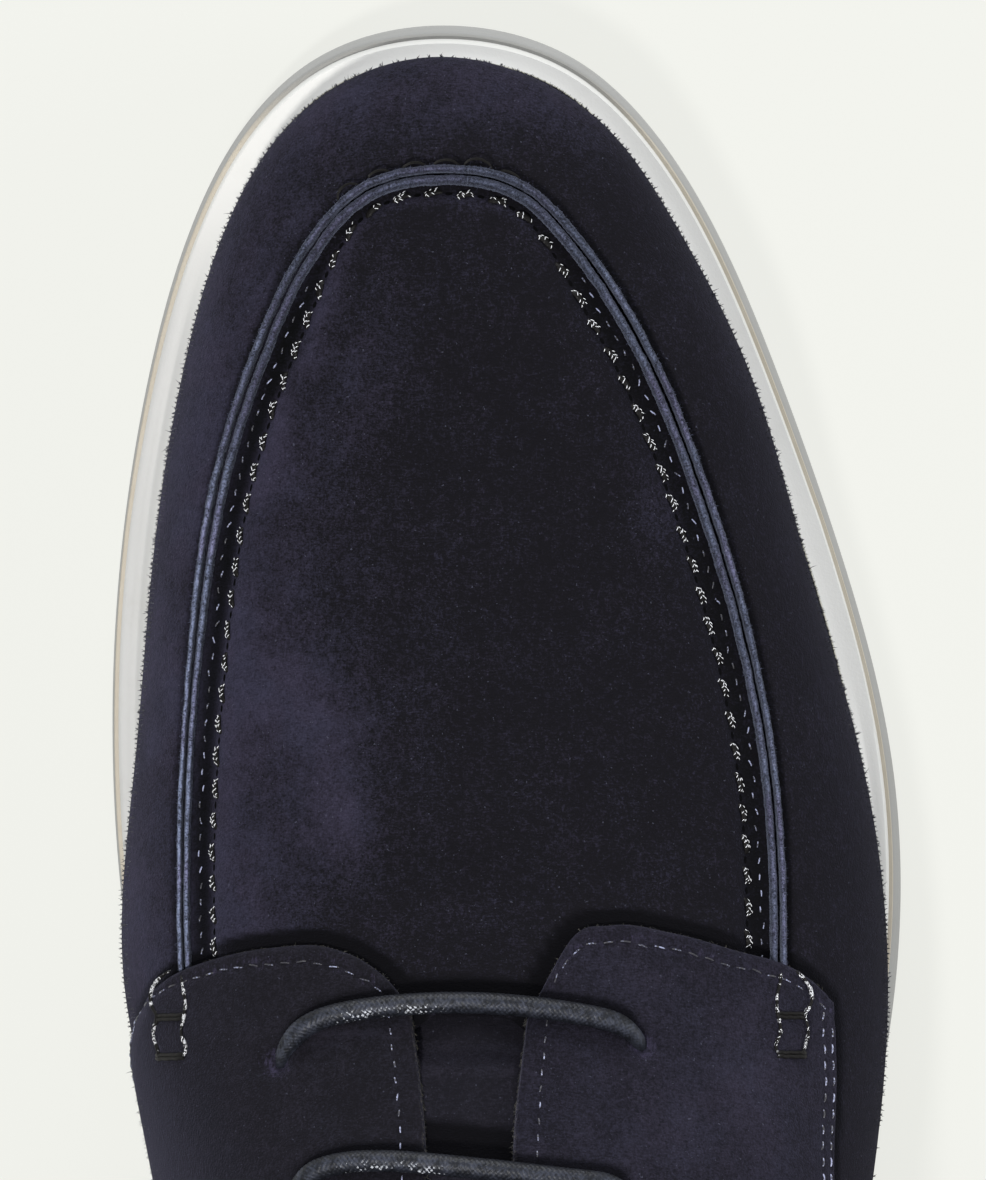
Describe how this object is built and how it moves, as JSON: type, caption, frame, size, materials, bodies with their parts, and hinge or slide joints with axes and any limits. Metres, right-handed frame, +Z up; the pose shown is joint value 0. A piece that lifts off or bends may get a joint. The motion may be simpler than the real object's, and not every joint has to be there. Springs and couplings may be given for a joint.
{
  "type": "derby shoe",
  "caption": "Low derby shoe for the right foot: hollow suede upper with an apron toe, open-laced quarters and tongue on a thin rubber sole with a low heel.",
  "frame": {"origin": "on the floor, under the middle of the shoe's box", "axes": "+X from heel to toe, +Y to the medial side (the big toe's), +Z up"},
  "size_m": [0.3028, 0.11, 0.1028],
  "materials": {
    "sole_rubber": "matt off-white moulded rubber",
    "heel_rubber": "matt off-white moulded rubber",
    "welt_rubber": "satin white rubber",
    "midsole_board": "plain cream leather board",
    "insole_leather": "smooth tan sock leather",
    "suede": "brushed navy suede with a short nap",
    "tongue_suede": "brushed navy suede with a short nap",
    "lace_cord": "waxed round braided cord"
  },
  "bodies": {
    "root": {"outsole": "sole_rubber", "heel": "heel_rubber", "midsole": "midsole_board", "welt": "welt_rubber", "insole": "insole_leather", "upper": "suede", "quarter_medial": "suede", "quarter_lateral": "suede", "tongue": "tongue_suede", "lace_bar_1": "lace_cord", "lace_bar_2": "lace_cord", "lace_bar_3": "lace_cord", "lace_bar_4": "lace_cord"}
  },
  "joints": []
}
